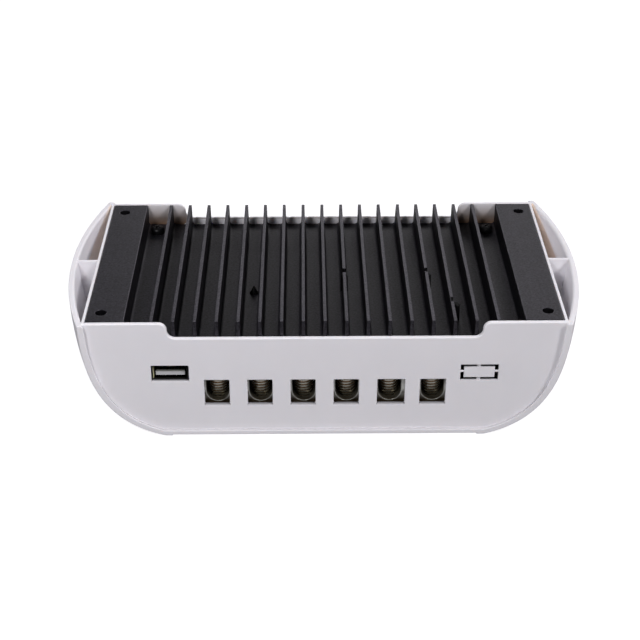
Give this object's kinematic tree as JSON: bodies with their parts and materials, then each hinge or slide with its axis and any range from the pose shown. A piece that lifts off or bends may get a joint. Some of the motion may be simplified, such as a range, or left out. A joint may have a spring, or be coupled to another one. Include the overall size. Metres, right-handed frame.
{
  "type": "solar charge controller",
  "caption": "Charge controller in a curved plastic shell with a finned heatsink back, screw-clamp wire terminals, a USB socket and a display with keys on the front.",
  "frame": {"origin": "centre of the footprint, on the plane of the front (display) face that the part lies on", "axes": "+Z out of the heatsink back, -Y towards the wire terminals, +X towards the blank port, away from the USB socket"},
  "size_m": [0.1986, 0.1028, 0.049],
  "materials": {
    "shell": "fine satin moulded",
    "heatsink": "black anodised extrusion",
    "black_screws": "black oxide",
    "tinned_steel": "tin plated",
    "white_insulator": "moulded",
    "gold_contacts": "gold plated",
    "overlay": "printed film",
    "window": "clear hard-coated",
    "black_plastic": "moulded",
    "lcd_glass": "polarised glass sandwich",
    "light_guide": "translucent",
    "circuit_board": "green solder mask",
    "zinc_screws": "zinc plated",
    "brass_fittings": "turned",
    "pads": "silicone",
    "capacitor_sleeve": "shrink sleeve",
    "copper_alloy": "bare strip",
    "ferrite": "ferrite with copper winding",
    "plated_brass": "nickel plated, brushed",
    "clamp_screws": "yellow passivated zinc",
    "keys": "satin moulded"
  },
  "bodies": {
    "housing": {"front_shell": "shell", "heatsink": "heatsink", "heatsink_screws": "black_screws", "device_screws": "black_screws", "terminal_pv_positive": "plated_brass", "terminal_pv_negative": "plated_brass", "terminal_battery_positive": "plated_brass", "terminal_battery_negative": "plated_brass", "terminal_load_positive": "plated_brass", "terminal_load_negative": "plated_brass", "usb_shell": "tinned_steel", "usb_tongue": "white_insulator", "usb_contacts": "gold_contacts", "front_overlay": "overlay", "lcd_window": "window", "key_switches": "black_plastic", "lcd_glass": "lcd_glass", "lcd_frame": "black_plastic", "lcd_backlight": "light_guide", "display_board": "circuit_board", "display_screws": "zinc_screws", "board_header": "black_plastic", "header_socket": "black_plastic", "main_board": "circuit_board", "board_standoffs": "brass_fittings", "board_screws": "zinc_screws", "power_transistors": "black_plastic", "insulating_pads": "pads", "bulk_capacitors": "capacitor_sleeve", "microcontroller": "black_plastic", "current_shunts": "copper_alloy", "usb_inductor": "ferrite"},
    "clamp_screw_pv_positive": {"screw_pv_positive": "clamp_screws"},
    "clamp_screw_pv_negative": {"screw_pv_negative": "clamp_screws"},
    "clamp_screw_battery_positive": {"screw_battery_positive": "clamp_screws"},
    "clamp_screw_battery_negative": {"screw_battery_negative": "clamp_screws"},
    "clamp_screw_load_positive": {"screw_load_positive": "clamp_screws"},
    "clamp_screw_load_negative": {"screw_load_negative": "clamp_screws"},
    "menu_key": {"key_menu": "keys", "plunger_menu": "black_plastic"},
    "up_key": {"key_up": "keys", "plunger_up": "black_plastic"},
    "down_key": {"key_down": "keys", "plunger_down": "black_plastic"}
  },
  "joints": [
    {"name": "clamp_travel_pv_positive", "type": "slide", "parent": "housing", "child": "clamp_screw_pv_positive", "axis": [0, 0, -1], "range_m": [0, 0.008]},
    {"name": "clamp_travel_pv_negative", "type": "slide", "parent": "housing", "child": "clamp_screw_pv_negative", "axis": [0, 0, -1], "range_m": [0, 0.008]},
    {"name": "clamp_travel_battery_positive", "type": "slide", "parent": "housing", "child": "clamp_screw_battery_positive", "axis": [0, 0, -1], "range_m": [0, 0.008]},
    {"name": "clamp_travel_battery_negative", "type": "slide", "parent": "housing", "child": "clamp_screw_battery_negative", "axis": [0, 0, -1], "range_m": [0, 0.008]},
    {"name": "clamp_travel_load_positive", "type": "slide", "parent": "housing", "child": "clamp_screw_load_positive", "axis": [0, 0, -1], "range_m": [0, 0.008]},
    {"name": "clamp_travel_load_negative", "type": "slide", "parent": "housing", "child": "clamp_screw_load_negative", "axis": [0, 0, -1], "range_m": [0, 0.008]},
    {"name": "menu_press", "type": "slide", "parent": "housing", "child": "menu_key", "axis": [0, 0, 1], "range_m": [0, 0.00035], "stiffness_N_per_m": 4000},
    {"name": "up_press", "type": "slide", "parent": "housing", "child": "up_key", "axis": [0, 0, 1], "range_m": [0, 0.00035], "stiffness_N_per_m": 4000},
    {"name": "down_press", "type": "slide", "parent": "housing", "child": "down_key", "axis": [0, 0, 1], "range_m": [0, 0.00035], "stiffness_N_per_m": 4000}
  ]
}
